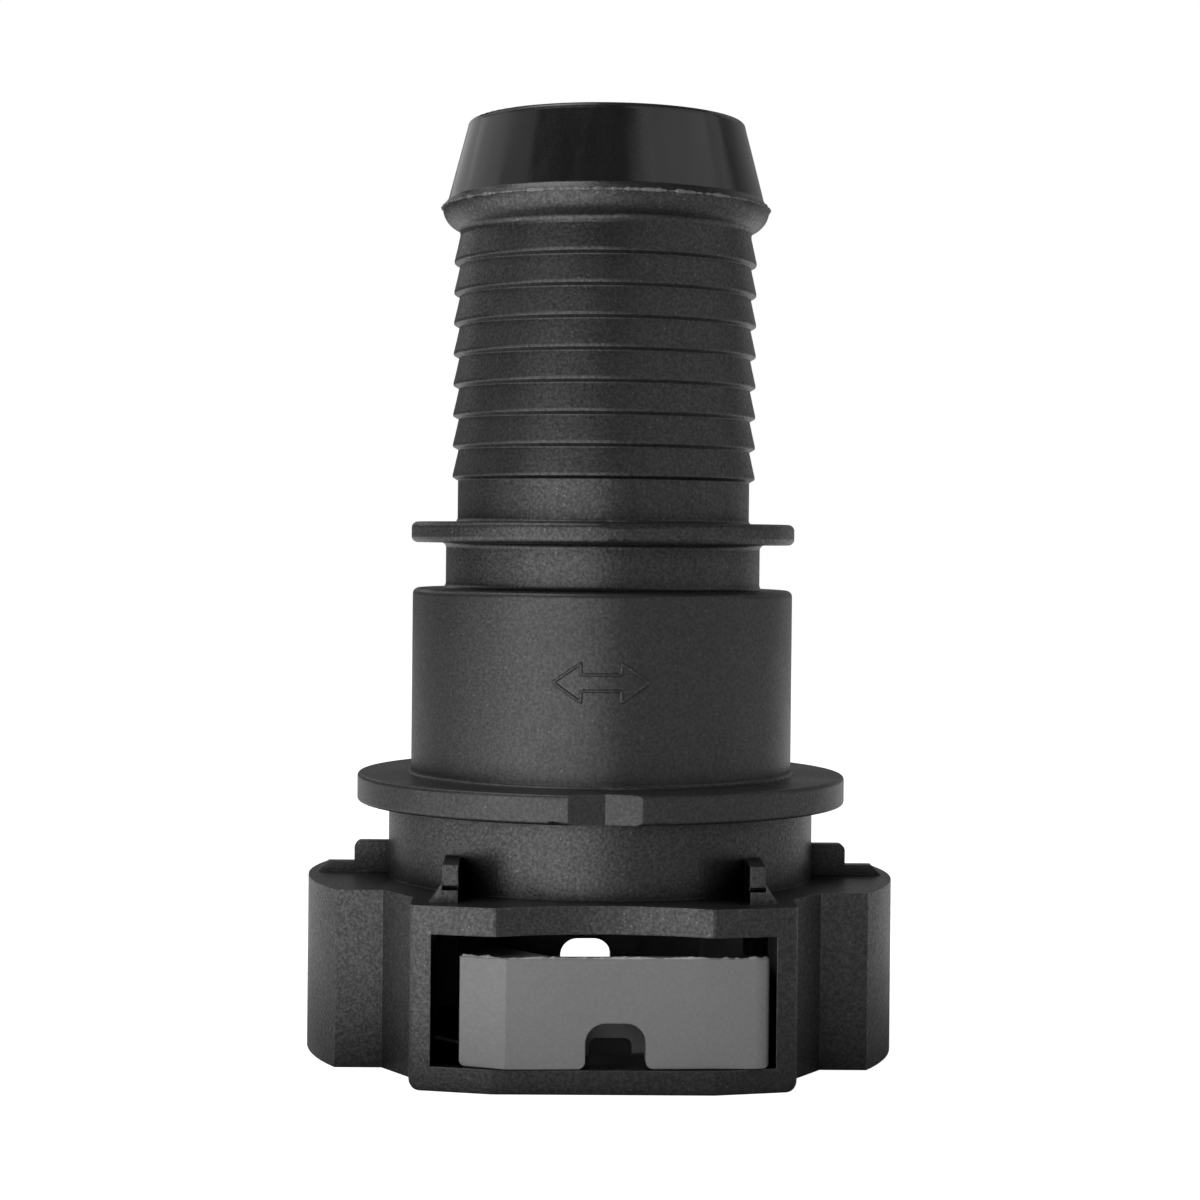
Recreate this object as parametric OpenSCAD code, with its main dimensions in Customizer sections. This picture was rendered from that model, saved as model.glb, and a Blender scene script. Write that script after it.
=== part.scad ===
// Straight quick-connect heater hose connector, female end, with a barbed hose stem.
// The connector stands on its head: the mouth faces down, the stem points along +Z.
// Origin: centre of the mouth in the plane of the head's bottom face.

/* [Head] */
// Radius of the two side lobes about the connector's axis
lobe_r = 19.0; // [18:0.1:21]
// Half depth of the side lobes, to their flat faces
lobe_half_y = 9.4; // [9:0.1:11]
// Thickness of the lobes' outer walls
lobe_wall = 2.0; // [1.4:0.1:2.6]
// Thickness of the lobes' front and rear walls
lobe_face_wall = 1.6; // [1.4:0.1:2.2]
// Distance from the axis to the flat front and rear panels
panel_y = 17.1; // [16.6:0.1:18]
// Wall between a window and the panel's side
panel_side_wall = 1.3; // [1:0.1:2]
// Half width of the flat middle of a panel, between its two bevelled flanks
panel_flat_half_x = 6.6; // [5:0.1:8]
// How far a panel's flank falls back at its outer end
panel_flank_drop = 1.2; // [0.4:0.1:1.6]
// Width of the slanted web between a lobe and a panel's side
slant_w = 2.0; // [1.5:0.1:2.6]
// How far the slanted web reaches along the panel's side
slant_d = 3.1; // [2:0.1:4]
// Height of the head
head_h = 11.0; // [10.5:0.1:13]
// Height of the bar below each window
sill_h = 1.45; // [1.2:0.05:2]
// Thickness of the head's roof above the windows
roof_t = 1.7; // [1.4:0.1:2.4]
// Gap beside a press tab in its window, when the clip is not turned
window_gap = 1.06; // [1:0.02:1.6]
// Gap above a press tab in its window
window_head_gap = 1.29; // [0.8:0.01:2]
// Width of the ledge round the mouth below the clip
mouth_gap = 1.8; // [1.5:0.1:2.2]
// Chamfer round the mouth
mouth_chamfer = 0.6; // [0.3:0.1:0.8]
// Play round the clip's locking segments
chamber_gap = 0.8; // [0.6:0.05:1.1]
// Radius of the thumb hollow in the bar above each window
thumb_r = 16.5; // [13:0.1:20]
// Depth of the thumb hollow
thumb_depth = 1.3; // [0.6:0.1:1.6]
// Fall of the lobes' tops behind their ribs
lobe_fall = 0.7; // [0.3:0.1:1.2]

/* [Socket] */
// Radius of the socket that the mating spigot slides into
socket_r = 10.45; // [10.35:0.05:10.6]
// Wall left between the socket's end and the groove
socket_end_wall = 1.7; // [1.4:0.1:3]
// How much wider the seal chamber is than the socket, as a radius
gland_depth = 1.75; // [1.6:0.05:1.85]
// Depth of the seal chamber above the head's hollow
seal_chamber_h = 7.5; // [7:0.1:8]
// Thickness of the O-rings
o_ring_d = 1.9; // [1.7:0.05:1.95]
// Gap between a seal and its neighbours
seal_gap = 0.08; // [0.05:0.01:0.12]
// Height of the spacer between the O-rings
spacer_h = 1.0; // [0.7:0.1:1.2]
// Radial clearance of the spacer and the keeper in the chamber
keeper_clearance = 0.04; // [0.02:0.01:0.1]
// How much wider the keeper's bore is than the socket, as a radius
keeper_bore_gap = 0.1; // [0.05:0.01:0.3]
// How far the keeper's snap ridge stands proud
ridge_h = 0.2; // [0.1:0.05:0.3]
// Width of the keeper's snap ridge
ridge_w = 0.6; // [0.4:0.1:0.8]

/* [Neck, flange and housing] */
// Wall of the neck round the seal chamber
neck_wall = 1.63; // [1.4:0.01:2.4]
// Height of the neck between head and flange
neck_h = 4.75; // [4.5:0.05:6]
// Thickness of the flange
flange_t = 1.85; // [1.5:0.05:2.4]
// How far the flange stands out from the neck
flange_w = 2.07; // [1.5:0.01:3]
// Rounding of the flange's lower edge
flange_round = 0.25; // [0.2:0.05:0.7]
// Half width of the index notch in the flange's rim
notch_half_w = 2.25; // [1.5:0.05:3]
// Depth of the index notch
notch_depth = 0.6; // [0.3:0.1:1]
// Wall of the housing round the socket
housing_wall = 1.97; // [1.9:0.01:2.6]
// Length of the housing above the flange
housing_h = 12.0; // [11:0.5:16]
// Rounding of the housing's upper edge
housing_round = 0.4; // [0.2:0.05:0.8]
// Wall between the groove's bottom and the passage
groove_wall = 2.78; // [2.4:0.02:3.2]
// Width of the groove
groove_w = 2.95; // [2:0.05:4]
// Rounding in the groove's corners
groove_fillet = 0.35; // [0.1:0.05:0.6]
// Height of the collar that stops the hose, above the stem
collar_h = 2.98; // [2.4:0.02:4]
// Thickness of the collar
collar_t = 1.35; // [1:0.05:2]
// Rounding of the collar's edges
collar_round = 0.4; // [0.2:0.05:0.5]

/* [Hose stem] */
// Radius of the passage through the stem
passage_r = 7.5; // [6.5:0.1:7.9]
// Wall of the stem between its barbs
stem_wall = 2.05; // [1.8:0.05:2.4]
// Height of the barbs
barb_h = 0.35; // [0.2:0.05:0.7]
// Distance from one barb to the next
barb_pitch = 2.0; // [1.6:0.1:2.6]
// Number of barbs
barb_count = 8; // [4:1:10]
// Plain length between the collar and the first barb's foot
stem_plain = 2.7; // [1.5:0.05:4]
// Length of the short face under each barb's edge
barb_back = 0.25; // [0.15:0.05:0.5]
// Height of the barbs' flat edge
barb_land = 0.12; // [0.04:0.01:0.25]
// Rounding of the barbs' edges
barb_round = 0.08; // [0.05:0.01:0.12]
// Height of the end bead above the stem
bead_h = 1.15; // [0.8:0.05:1.6]
// Rounding of the end bead's underside
bead_round = 1.5; // [1:0.1:1.7]
// Hollow rounding at the foot of the bead's underside
bead_foot = 0.35; // [0.1:0.05:0.5]
// Plain length between the last barb and the bead
bead_plain = 1.85; // [1.8:0.05:3]
// Drop from the bead's lip to the foot of the lead-in cone
lip_drop = 0.35; // [0.2:0.05:0.6]
// Height of the bead's lip
lip_h = 0.5; // [0.3:0.05:0.8]
// Wall at the tip of the lead-in cone
tip_wall = 1.6; // [1.2:0.05:2.1]
// Length of the lead-in cone
cone_h = 5.15; // [3:0.05:8]
// Rounding of the stem's rim
rim_round = 0.35; // [0.2:0.05:0.5]

/* [Ribs on the head] */
// Thickness of the ribs
rib_t = 1.1; // [0.8:0.1:1.6]
// Thickness of the hooks
hook_t = 0.95; // [0.8:0.05:1.4]
// Height of the tall rib beside the neck
rib_high = 2.0; // [1:0.05:2.6]
// Length of the tall rib, out from the neck
rib_high_len = 2.22; // [1.6:0.02:2.6]
// Height of the low rib over the lobes
rib_low = 0.65; // [0.3:0.05:0.9]
// Distance from the low rib's end to the lobe's edge
rib_low_inset = 1.2; // [0.8:0.1:1.8]
// Distance from a hook's middle to the panel's side
hook_inset = 2.35; // [2:0.05:2.8]
// Distance from a hook's head to the panel's face
hook_setback = 2.5; // [2.1:0.1:3]
// Height of the hooks
hook_h = 2.25; // [1.8:0.05:3]
// Height of a hook's head
hook_head_h = 1.25; // [0.8:0.05:1.4]

/* [Retainer clip] */
// How much wider the clip's bore is than the socket, as a radius
clip_bore_gap = 0.45; // [0.35:0.05:0.7]
// Radial thickness of the clip's slim band
clip_band_t = 1.4; // [1.2:0.1:1.5]
// Radial thickness of the two locking segments
clip_lock_t = 2.3; // [1.8:0.1:2.4]
// Play between a locking segment's end and its pocket
lock_play = 1.3; // [1.3:0.1:2]
// Height of the slim band
clip_band_h = 1.85; // [1.4:0.05:1.9]
// How much lower the locking segments are than the tabs
lock_drop = 0.2; // [0:0.05:1]
// Clearance below the clip
clip_clearance = 0.06; // [0.03:0.01:0.2]
// Half width of the press tabs
tab_half_x = 9.24; // [8.8:0.02:9.6]
// How far the press tabs' faces lie behind the panels' faces
tab_recess = 0.1; // [0:0.1:0.6]
// Thickness of the press tabs
tab_t = 1.1; // [0.9:0.1:1.4]
// Width of the slanted facet at one end of each tab
tab_facet_w = 2.7; // [1.6:0.1:3]
// How far that facet falls back at the tab's end
tab_facet_drop = 1.2; // [0.8:0.1:1.8]
// Rounding at the other end of each tab
tab_round = 0.9; // [0.4:0.1:1]
// Thickness of the legs between tabs and band
leg_t = 1.6; // [1.2:0.1:2]
// How far the web in the tab's corner reaches along the tab
web_reach = 5.4; // [4:0.1:6]
// How much lower the low leg is than the tab
leg_drop = 1.9; // [1:0.1:3]
// Half width of the arch in a tab's lower edge
arch_half_w = 1.8; // [1.2:0.02:2.4]
// Height of the arch
arch_h = 2.7; // [1.5:0.1:3.5]
// Half width of the notch in the band behind each tab
band_notch_half_w = 1.3; // [0.8:0.1:1.8]
// Height of that notch
band_notch_h = 0.95; // [0.5:0.05:1.2]
// Turn of the clip in its windows, within its play
clip_turn = 2.4; // [0:0.1:3]

/* [Hidden] */
$fn = 96;
eps = 0.01;
cut = 1;

seal_chamber_r = socket_r + gland_depth;
neck_r = seal_chamber_r + neck_wall;
flange_r = neck_r + flange_w;
housing_r = socket_r + housing_wall;
groove_r = passage_r + groove_wall;
stem_root_r = passage_r + stem_wall;
collar_r = stem_root_r + collar_h;
barb_r = stem_root_r + barb_h;
bead_r = stem_root_r + bead_h;
cone_foot_r = bead_r - lip_drop;
cone_tip_r = passage_r + tip_wall;

room_h = head_h - roof_t;
flange_z = head_h + neck_h;
flange_top_z = flange_z + flange_t;
housing_top_z = flange_top_z + housing_h;
groove_top_z = housing_top_z + groove_w;
collar_top_z = groove_top_z + collar_t;
barb_z = collar_top_z + stem_plain;
bead_z = barb_z + barb_count * barb_pitch + bead_plain;
cone_z = bead_z + lip_h;
total_h = cone_z + cone_h;

socket_top_z = housing_top_z - socket_end_wall;
socket_cone_h = socket_end_wall / 2;
seal_top_z = room_h + seal_chamber_h;
upper_ring_z = seal_top_z - seal_gap - o_ring_d / 2;
spacer_z = upper_ring_z - o_ring_d / 2 - seal_gap - spacer_h;
lower_ring_z = spacer_z - seal_gap - o_ring_d / 2;
keeper_h = lower_ring_z - o_ring_d / 2 - seal_gap - room_h;
seal_ring_r = seal_chamber_r - seal_gap - o_ring_d / 2;
keeper_in_r = socket_r + keeper_bore_gap;
ridge_z = room_h + ridge_w;

clip_in_r = socket_r + clip_bore_gap;
clip_out_r = clip_in_r + clip_band_t;
lock_out_r = clip_in_r + clip_lock_t;
tab_rise = sill_h + clip_clearance;
clip_tab_h = room_h - tab_rise - window_head_gap;
clip_lock_h = clip_tab_h - lock_drop;
leg_low_h = clip_tab_h - leg_drop;
tab_y = panel_y - tab_recess;
facet_turn = atan(tab_facet_drop / tab_facet_w);
facet_in_x = tab_facet_w + tab_t * tan(facet_turn / 2);
facet_in_y = tab_t + (facet_in_x - leg_t) * tan(facet_turn);
tab_inner_round = 0.5;
web_foot_gap = 0.1;
web_foot_y = clip_in_r + web_foot_gap;
lead_in = 1.1;
arch_shoulder_r = 1.2;
tab_lower_round = 0.35;
arch_foot_r = 0.45;

mouth_r = clip_in_r + mouth_gap;
chamber_r = lock_out_r + chamber_gap;
window_half_x = tab_half_x + window_gap;
panel_half_x = window_half_x + panel_side_wall;
pocket_half_y = lobe_half_y - lobe_face_wall;
clip_lock_half_y = pocket_half_y - lock_play;

rib_high_x = neck_r + rib_high_len;
rib_low_x = lobe_r - rib_low_inset;
hook_x = panel_half_x - hook_inset;
hook_y = panel_y - hook_setback;
hook_root_y = neck_r * cos(asin((hook_x + hook_t / 2) / neck_r)) - hook_t / 2;
hook_foot_h = 0.75;
hook_foot_toe = 0.3;
hook_neck_back = 0.7;
hook_gusset_w = 0.8;
hook_gusset_h = 1.2 * (hook_h - hook_head_h);
hook_gusset_len = 1.2;

lobe_fall_len = 3.9;
lobe_fall_start = 0.6;
root_fillet = 0.25;
corner_round = 0.5;
touch_slack = 0.002;
head_lower_round = 0.7;
rim_chamfer = 0.3;
rib_round = 0.4;
notch_side_depth = 0.16;

// Points of an outline in the first quadrant, mirrored into all four
module four_ways() {
    for (sx = [0, 1])
        for (sy = [0, 1])
            mirror([sx, 0, 0])
                mirror([0, sy, 0])
                    children();
}

// Front and rear copies, each the other turned half round
module two_ways() {
    for (a = [0, 180])
        rotate([0, 0, a])
            children();
}

// Left and right copies, each the other's mirror image
module both_sides() {
    for (s = [0, 1])
        mirror([s, 0, 0])
            children();
}

// Quarter of a disc's profile: a rectangle from the axis with rounded outer corners
module disc_profile(r, z0, z1, r_low, r_high) {
    difference() {
        translate([0, z0])
            square([r, z1 - z0]);
        if (r_low > 0)
            translate([r - r_low, z0])
                corner_waste(r_low, 0);
        if (r_high > 0)
            translate([r - r_high, z1 - r_high])
                corner_waste(r_high, 1);
    }
}

// What a rounded corner leaves of its square: up = 1 for an upper corner, 0 for a lower one
module corner_waste(r, up) {
    difference() {
        translate([0, up == 1 ? 0 : -eps])
            square([r + eps, r + eps]);
        translate([0, up == 1 ? 0 : r])
            circle(r);
    }
}

// Fillet profile on a cylinder of radius r: above a shelf at z (up = 1) or below one (up = 0)
module fillet_profile(r, z, f, up) {
    difference() {
        translate([r - eps, up == 1 ? z - eps : z - f])
            square([f + eps, f + eps]);
        translate([r + f, up == 1 ? z + f : z - f])
            circle(f);
    }
}

// One quarter of a panel in plan, with a rounded outer corner
module panel_quarter() {
    corner_y = panel_y - panel_flank_drop;
    flank = atan(panel_flank_drop / (panel_half_x - panel_flat_half_x));
    corner_drop = corner_round * (1 - sin(flank)) / cos(flank);
    difference() {
        polygon([
            [0, 0],
            [panel_half_x, 0],
            [panel_half_x, corner_y],
            [panel_flat_half_x, panel_y],
            [0, panel_y]
        ]);
        translate([panel_half_x - corner_round, corner_y - corner_drop + touch_slack])
            difference() {
                polygon([
                    [0, 0],
                    [corner_round + cut, 0],
                    [corner_round + cut, corner_round + cut],
                    2 * corner_round * [sin(flank), cos(flank)]
                ]);
                circle(corner_round);
            }
    }
}

// Slanted web between a lobe's flat face and a panel's side
module slant_quarter() {
    polygon([
        [panel_half_x - cut, lobe_half_y - cut],
        [panel_half_x + slant_w + cut, lobe_half_y - cut],
        [panel_half_x + slant_w, lobe_half_y],
        [panel_half_x, lobe_half_y + slant_d],
        [panel_half_x - cut, lobe_half_y + slant_d]
    ]);
}

// Side lobes in plan: a disc between two flat faces
module lobes_outline(r, half_y) {
    intersection() {
        circle(r);
        translate([-r, -half_y])
            square([2 * r, 2 * half_y]);
    }
}

// The head in plan
module head_outline() {
    lobes_outline(lobe_r, lobe_half_y);
    four_ways() {
        panel_quarter();
        slant_quarter();
    }
}

// Hollows of the head: mouth, lobe pockets, windows and the clip's chamber
module head_hollows() {
    translate([0, 0, -cut])
        cylinder(r = mouth_r, h = room_h + cut);
    rotate_extrude()
        polygon([
            [0, -cut],
            [mouth_r + mouth_chamfer + cut, -cut],
            [mouth_r, mouth_chamfer],
            [0, mouth_chamfer]
        ]);
    translate([0, 0, -cut])
        linear_extrude(room_h + cut)
            lobes_outline(lobe_r - lobe_wall, pocket_half_y);
    translate([-window_half_x, -panel_y - cut, sill_h])
        cube([2 * window_half_x, 2 * (panel_y + cut), room_h - sill_h]);
    translate([0, 0, sill_h])
        cylinder(r = chamber_r, h = room_h - sill_h);
}

// What the rounding takes off the lower side edges of a panel
module panel_lower_round() {
    translate([panel_half_x - head_lower_round, lobe_half_y + slant_d, 0])
        rotate([90, 0, 180])
            mirror([1, 0, 0])
                linear_extrude(panel_y)
                    corner_waste(head_lower_round, 0);
}

// Thumb hollow in the bar above each window
module thumb_hollow() {
    translate([0, -panel_y - thumb_r + thumb_depth, room_h - eps])
        cylinder(r = thumb_r, h = roof_t + cut);
}

// The lobes' tops fall away behind their ribs
module lobe_top_fall() {
    fall_y = lobe_half_y - lobe_fall_len;
    rotate([90, 0, 90])
        translate([0, 0, panel_half_x + slant_w - lobe_fall_start])
            linear_extrude(lobe_r)
                polygon([
                    [fall_y, head_h],
                    [lobe_half_y + cut, head_h - lobe_fall],
                    [lobe_half_y + cut, head_h + cut],
                    [fall_y, head_h + cut]
                ]);
}

// Everything round about the axis, outside: neck, flange, housing, groove, collar and stem
module outer_profile() {
    disc_profile(neck_r, head_h - cut, flange_z + eps, 0, 0);
    disc_profile(flange_r, flange_z, flange_top_z, flange_round, root_fillet);
    disc_profile(housing_r, flange_top_z - eps, housing_top_z, 0, housing_round);
    fillet_profile(housing_r, flange_top_z, root_fillet, 1);
    disc_profile(groove_r, housing_top_z - eps, groove_top_z + eps, 0, 0);
    fillet_profile(groove_r, housing_top_z, groove_fillet, 1);
    fillet_profile(groove_r, groove_top_z, groove_fillet, 0);
    disc_profile(collar_r, groove_top_z, collar_top_z, collar_round, collar_round);
    fillet_profile(stem_root_r, collar_top_z, root_fillet, 1);
    disc_profile(stem_root_r, collar_top_z - eps, bead_z, 0, 0);
    for (i = [0 : barb_count - 1])
        barb_profile(barb_z + barb_back + i * barb_pitch);
    bead_foot_profile();
    bead_profile();
    disc_profile(cone_tip_r, cone_z, total_h, 0, rim_round);
}

// Where a line from the point p touches a circle about c, on the side given as 1 or -1
function touch_point(p, c, r, side) =
    let (d = norm(p - c), turn = atan2(p[1] - c[1], p[0] - c[0]) + side * acos(r / d))
    c + r * [cos(turn), sin(turn)];

// One barb: a narrow flat edge with rounded corners, a short face to the collar and a long ramp to the tip
module barb_profile(z) {
    foot = [stem_root_r - eps, z - barb_back];
    ramp_end = [stem_root_r - eps, z + barb_pitch - barb_back];
    low = [barb_r - barb_round, z];
    high = [barb_r - barb_round, z + barb_land];
    polygon([
        foot,
        touch_point(foot, low, barb_round, 1),
        [barb_r, low[1]],
        [barb_r, high[1]],
        touch_point(ramp_end, high, barb_round, -1),
        ramp_end
    ]);
    for (corner = [low, high])
        translate(corner)
            circle(barb_round);
}

// Hollow rounding between the stem and the bead's underside
module bead_foot_profile() {
    middle = [bead_r - bead_round, bead_z];
    hollow_x = stem_root_r + bead_foot;
    hollow_drop = sqrt(pow(bead_round + bead_foot, 2) - pow(hollow_x - middle[0], 2));
    hollow = [hollow_x, bead_z - hollow_drop];
    meet = middle + (bead_round - eps) / (bead_round + bead_foot) * (hollow - middle);
    difference() {
        polygon([
            [stem_root_r - eps, hollow[1]],
            hollow,
            meet,
            [stem_root_r - eps, meet[1]]
        ]);
        translate(hollow)
            circle(bead_foot);
    }
}

// End bead with a rounded underside, and the lead-in cone above its lip
module bead_profile() {
    intersection() {
        translate([bead_r - bead_round, bead_z])
            circle(bead_round);
        translate([0, bead_z - bead_round])
            square([bead_r, bead_round]);
    }
    polygon([
        [0, bead_z - eps],
        [bead_r - 2 * eps, bead_z - eps],
        [bead_r, bead_z],
        [cone_foot_r, cone_z],
        [cone_tip_r, total_h - rim_round],
        [0, total_h - rim_round]
    ]);
}

// Passage, socket and seal chamber, from the hose end down to the head's hollow
module bore_profile() {
    square([passage_r, total_h + cut]);
    polygon([
        [0, total_h - rim_chamfer],
        [passage_r, total_h - rim_chamfer],
        [passage_r + rim_chamfer + cut, total_h + cut],
        [0, total_h + cut]
    ]);
    square([socket_r, socket_top_z]);
    polygon([
        [0, socket_top_z - eps],
        [socket_r, socket_top_z - eps],
        [passage_r, socket_top_z + socket_cone_h],
        [0, socket_top_z + socket_cone_h]
    ]);
    square([seal_chamber_r, seal_top_z]);
    translate([0, ridge_z])
        square([seal_chamber_r + ridge_h, ridge_w]);
}

// Index notch in the flange's rim
module flange_notch() {
    translate([0, -flange_r, flange_z - cut])
        linear_extrude(flange_t + 2 * cut)
            polygon([
                [-notch_half_w, -cut],
                [-notch_half_w, notch_side_depth],
                [0, notch_depth],
                [notch_half_w, notch_side_depth],
                [notch_half_w, -cut]
            ]);
}

// Stepped rib from the neck out over a lobe, as a plate across the connector's middle plane
module lobe_rib() {
    translate([0, rib_t / 2, 0])
        rotate([90, 0, 0])
            linear_extrude(rib_t)
                difference() {
                    polygon([
                        [neck_r - 1, head_h - eps],
                        [rib_low_x + rib_low, head_h - eps],
                        [rib_low_x, head_h + rib_low],
                        [rib_high_x, head_h + rib_low],
                        [rib_high_x, head_h + rib_high],
                        [neck_r - 1, head_h + rib_high]
                    ]);
                    translate([rib_high_x - rib_round, head_h + rib_high - rib_round])
                        corner_waste(rib_round, 1);
                }
}

// Hook beside a panel: a plate from the neck with an overhanging head, a foot and a gusset
module hook() {
    translate([hook_x - hook_t / 2, 0, head_h - eps]) {
        translate([0, hook_root_y, 0])
            cube([hook_t, hook_y - hook_neck_back - hook_root_y, hook_h]);
        translate([0, hook_root_y, hook_h - hook_head_h])
            cube([hook_t, hook_y - hook_root_y, hook_head_h]);
        translate([0, hook_root_y, 0])
            cube([hook_t, hook_y + hook_foot_toe - hook_root_y, hook_foot_h]);
    }
    translate([hook_x + hook_t / 2 - eps, hook_y + hook_foot_toe, head_h - eps])
        rotate([90, 0, 0])
            linear_extrude(hook_gusset_len)
                polygon([
                    [0, 0],
                    [hook_gusset_w, 0],
                    [0, hook_gusset_h]
                ]);
}

// Moulded body: head, neck, flange, housing and barbed stem in one piece
module connector_body() {
    color([0.07, 0.07, 0.075])
        difference() {
            union() {
                linear_extrude(head_h)
                    head_outline();
                rotate_extrude()
                    outer_profile();
                both_sides()
                    lobe_rib();
                four_ways()
                    hook();
            }
            head_hollows();
            rotate_extrude()
                bore_profile();
            two_ways()
                thumb_hollow();
            both_sides()
                lobe_top_fall();
            four_ways()
                panel_lower_round();
            flange_notch();
        }
}

// A press tab in plan: one end slants back as a facet, the other is rounded, and both turn back as legs
module tab_wall() {
    difference() {
        polygon([
            [-tab_half_x, -tab_y + tab_facet_drop],
            [-tab_half_x + tab_facet_w, -tab_y],
            [tab_half_x, -tab_y],
            [tab_half_x, -clip_lock_half_y],
            [-tab_half_x, -clip_lock_half_y]
        ]);
        polygon([
            [-tab_half_x + leg_t, -tab_y + facet_in_y],
            [-tab_half_x + facet_in_x, -tab_y + tab_t],
            [tab_half_x - leg_t - tab_inner_round, -tab_y + tab_t],
            [tab_half_x - leg_t, -tab_y + tab_t + tab_inner_round],
            [tab_half_x - leg_t, 0],
            [-tab_half_x + leg_t, 0]
        ]);
        translate([tab_half_x - tab_round, -tab_y])
            corner_waste(tab_round, 0);
    }
}

// Slanted web that stiffens the corner between a tab and its high leg
module tab_web() {
    polygon([
        [-tab_half_x + eps, -web_foot_y],
        [-tab_half_x + leg_t, -web_foot_y],
        [-tab_half_x + web_reach, -tab_y + tab_t],
        [-tab_half_x + tab_facet_w, -tab_y + tab_t],
        [-tab_half_x + eps, -tab_y + tab_facet_drop + eps]
    ]);
}

// Opening with round shoulders, from below its foot up to height h
module arch_profile(half_w, h, shoulder_r) {
    difference() {
        translate([-half_w, -cut])
            square([2 * half_w, h + cut]);
        both_sides()
            translate([half_w - shoulder_r, h - shoulder_r])
                corner_waste(shoulder_r, 1);
    }
}

// Arch in a tab's lower edge, with round shoulders and flared feet
module arch() {
    translate([0, -tab_y + tab_t + cut, tab_rise])
        rotate([90, 0, 0])
            linear_extrude(tab_t + 2 * cut)
                union() {
                    arch_profile(arch_half_w, arch_h, arch_shoulder_r);
                    both_sides()
                        difference() {
                            translate([arch_half_w - eps, -cut])
                                square([arch_foot_r + eps, arch_foot_r + cut]);
                            translate([arch_half_w + arch_foot_r, arch_foot_r])
                                circle(arch_foot_r);
                        }
                }
}

// Press tab with its legs: the leg at the tab's left end is high, the other low
module press_tab() {
    difference() {
        translate([0, 0, tab_rise])
            linear_extrude(clip_tab_h) {
                tab_wall();
                tab_web();
            }
        translate([0, -tab_y + tab_t + tab_inner_round, tab_rise + leg_low_h])
            cube([tab_half_x + cut, tab_y, clip_tab_h]);
        arch();
        tab_lower_rounds();
    }
}

// What the roundings take off the lower outer edges of a tab and its legs
module tab_lower_rounds() {
    both_sides()
        translate([tab_half_x - tab_lower_round, 0, tab_rise])
            rotate([90, 0, 0])
                linear_extrude(tab_y + cut)
                    corner_waste(tab_lower_round, 0);
}

// Notch in the lower edge of the slim band, behind a tab
module band_notch() {
    translate([0, -clip_in_r / 2, tab_rise])
        rotate([90, 0, 0])
            linear_extrude(clip_in_r)
                arch_profile(band_notch_half_w, band_notch_h, band_notch_h / 2);
}

// Slim band all round, and the two thick locking segments with their lead-in
module clip_ring() {
    difference() {
        union() {
            translate([0, 0, tab_rise])
                cylinder(r = clip_out_r, h = clip_band_h);
            translate([0, 0, tab_rise])
                linear_extrude(clip_lock_h)
                    intersection() {
                        circle(lock_out_r);
                        both_sides()
                            translate([clip_in_r / 2, -clip_lock_half_y])
                                square([lock_out_r, 2 * clip_lock_half_y]);
                    }
        }
        clip_bore();
        two_ways()
            band_notch();
    }
}

// Inside of the clip: a plain bore with a wide lead-in at its lower edge
module clip_bore() {
    rotate_extrude()
        polygon([
            [0, tab_rise - cut],
            [clip_in_r + lead_in, tab_rise - cut],
            [clip_in_r + lead_in, tab_rise],
            [clip_in_r, tab_rise + lead_in],
            [clip_in_r, tab_rise + clip_tab_h + cut],
            [0, tab_rise + clip_tab_h + cut]
        ]);
}

// Oval spring clip in one piece: two press tabs and two locking segments
module retainer_clip() {
    color([0.62, 0.63, 0.65])
        rotate([0, 0, clip_turn]) {
            clip_ring();
            difference() {
                two_ways()
                    press_tab();
                clip_bore();
            }
        }
}

// O-ring of the given height on the socket's axis
module o_ring(z) {
    translate([0, 0, z])
        rotate_extrude()
            translate([seal_ring_r, 0])
                circle(o_ring_d / 2);
}

// Lower seal
module o_ring_lower() {
    color([0.03, 0.03, 0.03])
        o_ring(lower_ring_z);
}

// Upper seal
module o_ring_upper() {
    color([0.03, 0.03, 0.03])
        o_ring(upper_ring_z);
}

// Spacer between the two seals
module spacer_ring() {
    color([0.85, 0.84, 0.8])
        rotate_extrude()
            translate([keeper_in_r, spacer_z])
                square([seal_chamber_r - keeper_clearance - keeper_in_r, spacer_h]);
}

// Bush that is snapped in below the seals and holds them
module seal_keeper() {
    color([0.2, 0.2, 0.21])
        rotate_extrude()
            difference() {
                union() {
                    translate([keeper_in_r, room_h])
                        square([seal_chamber_r - keeper_clearance - keeper_in_r, keeper_h]);
                    translate([keeper_in_r, ridge_z + keeper_clearance])
                        square([seal_chamber_r + ridge_h - keeper_clearance - keeper_in_r,
                            ridge_w - 2 * keeper_clearance]);
                }
                polygon([
                    [keeper_in_r - eps, room_h - eps],
                    [keeper_in_r + rim_chamfer, room_h - eps],
                    [keeper_in_r - eps, room_h + rim_chamfer]
                ]);
            }
}

connector_body();
retainer_clip();
o_ring_lower();
spacer_ring();
o_ring_upper();
seal_keeper();
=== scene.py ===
"""Looks of a straight quick-connect heater hose connector.

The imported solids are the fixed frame. This script dresses them in moulded nylon and rubber, and adds the
fine shapes that a mould leaves: a ragged line of flash, the torn burr on the clip's tabs and a raised mark.
Then it sets the studio and the camera. Lengths are in metres, in the frame of the solids: +Z runs from the
mouth to the stem's tip, and -Y faces the camera.
"""

from __future__ import annotations

import logging
import math
from dataclasses import dataclass, field
from enum import Enum
from typing import Union

import bmesh
import bpy
from mathutils import Matrix, Quaternion, Vector


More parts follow.
